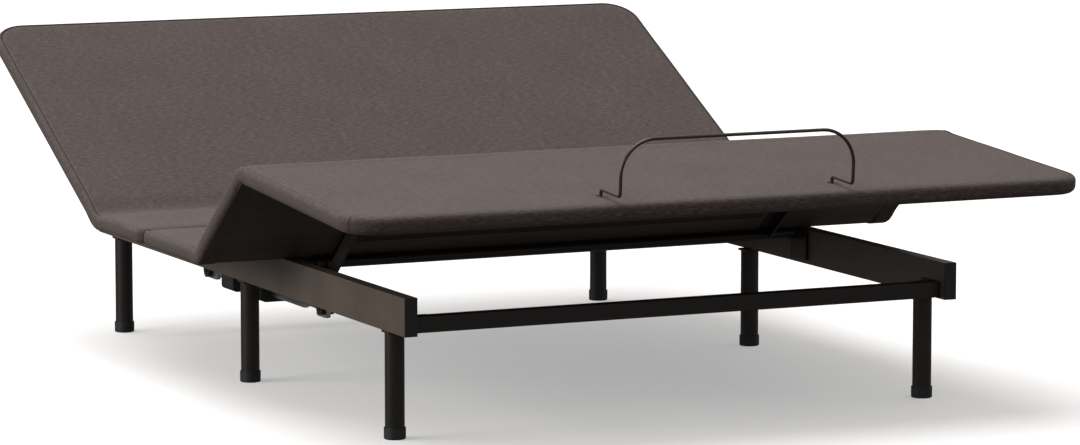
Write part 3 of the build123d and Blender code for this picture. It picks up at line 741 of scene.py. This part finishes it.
GROMMET = [(r * MM, h * MM) for r, h in (
    (7.2, 22.0), (7.2, 29.2), (7.6, 30.0), (8.6, 30.5), (10.6, 30.6), (12.0, 30.5), (12.8, 30.1),
    (12.8, 29.4), (11.6, 28.6), (10.9, 27.5), (10.9, 22.0),
)]
for number, x in enumerate(PEG_X):
    grommet = lathe(f"socket_grommet_{number + 1}", GROMMET, (x, PEG_Y), foot_fold)
    finish_with(grommet, "black_plastic")
    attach(grommet, "foot_section")

# ---- floor, light and camera ---------------------------------------------------------------
floor_mesh = bpy.data.meshes.new("floor")
reach = 60.0
floor_corners = [(-reach, -reach, 0), (reach, -reach, 0), (reach, reach, 0), (-reach, reach, 0)]
floor_mesh.from_pydata(floor_corners, [], [(0, 1, 2, 3)])
floor = bpy.data.objects.new("floor", floor_mesh)
bpy.context.scene.collection.objects.link(floor)
floor_material, floor_tree, floor_shader = material("floor_paper", (0.64, 0.622, 0.606), 0.9)
floor_shader.inputs["Specular IOR Level"].default_value = 0.1
floor_shader.inputs["Emission Color"].default_value = (1.0, 1.0, 1.0, 1.0)
floor_shader.inputs["Emission Strength"].default_value = 0.36
seen_below = add(floor_tree, "ShaderNodeNewGeometry").outputs["Backfacing"]
clear = add(floor_tree, "ShaderNodeBsdfTransparent")
floor_mix = add(floor_tree, "ShaderNodeMixShader", None, {
    0: seen_below, 1: floor_shader.outputs["BSDF"], 2: clear.outputs["BSDF"],
})
floor_tree.links.new(floor_mix.outputs["Shader"], floor_tree.nodes["Material Output"].inputs["Surface"])
floor_mesh.materials.append(floor_material)
floor.visible_diffuse = False
floor.visible_glossy = False


def area_light(name, place, target, size, power, colour=(1.0, 1.0, 1.0)):
    """Soft square light aimed at a point."""
    light = bpy.data.lights.new(name, "AREA")
    light.shape = "RECTANGLE"
    light.size, light.size_y = size
    light.energy = power
    light.color = colour
    obj = bpy.data.objects.new(name, light)
    obj.location = place
    obj.rotation_mode = "QUATERNION"
    obj.rotation_quaternion = (Vector(target) - Vector(place)).to_track_quat("-Z", "Y")
    bpy.context.scene.collection.objects.link(obj)
    return obj


sun = bpy.data.lights.new("key_light", "SUN")
sun.angle = math.radians(50)
sun.energy = 2.6
sun_object = bpy.data.objects.new("key_light", sun)
sun_object.rotation_mode = "QUATERNION"
sun_object.rotation_quaternion = Vector((0.15, -0.30, -1.0)).to_track_quat("-Z", "Y")
bpy.context.scene.collection.objects.link(sun_object)
area_light("side_light", (-4.5, 0.5, 1.6), (0.0, 0.0, 0.3), (3.0, 2.0), 110.0)

world = bpy.data.worlds.new("studio")
world.use_nodes = True
world_tree = world.node_tree
upward = add(world_tree, "ShaderNodeTexCoord").outputs["Generated"]
height = add(world_tree, "ShaderNodeSeparateXYZ", None, {0: upward})
glow = ramp(world_tree, calc(world_tree, "MULTIPLY_ADD", height.outputs[2], 0.5, 0.5), [
    (0.40, (0.10, 0.094, 0.090)), (0.52, (0.32, 0.31, 0.30)),
    (0.80, (0.60, 0.60, 0.60)), (1.0, (0.78, 0.78, 0.78)),
])
world_tree.links.new(glow, world_tree.nodes["Background"].inputs["Color"])
world_tree.nodes["Background"].inputs["Strength"].default_value = 1.0
bpy.context.scene.world = world
bpy.context.scene.view_settings.view_transform = "Standard"

CAMERA_PLACE = Vector((-3.6817, -8.0729, 1.4082))
YAW, PITCH = math.radians(24.93), math.radians(7.34)
camera_data = bpy.data.cameras.new("camera")
camera_data.sensor_fit = "HORIZONTAL"
camera_data.sensor_width = 36.0
camera_data.lens = 159.53
camera_data.clip_end = 200.0
camera = bpy.data.objects.new("camera", camera_data)
camera.location = CAMERA_PLACE
aim = Vector((math.sin(YAW) * math.cos(PITCH), math.cos(YAW) * math.cos(PITCH), -math.sin(PITCH)))
camera.rotation_mode = "QUATERNION"
camera.rotation_quaternion = aim.to_track_quat("-Z", "Y")
bpy.context.scene.collection.objects.link(camera)
bpy.context.scene.camera = camera
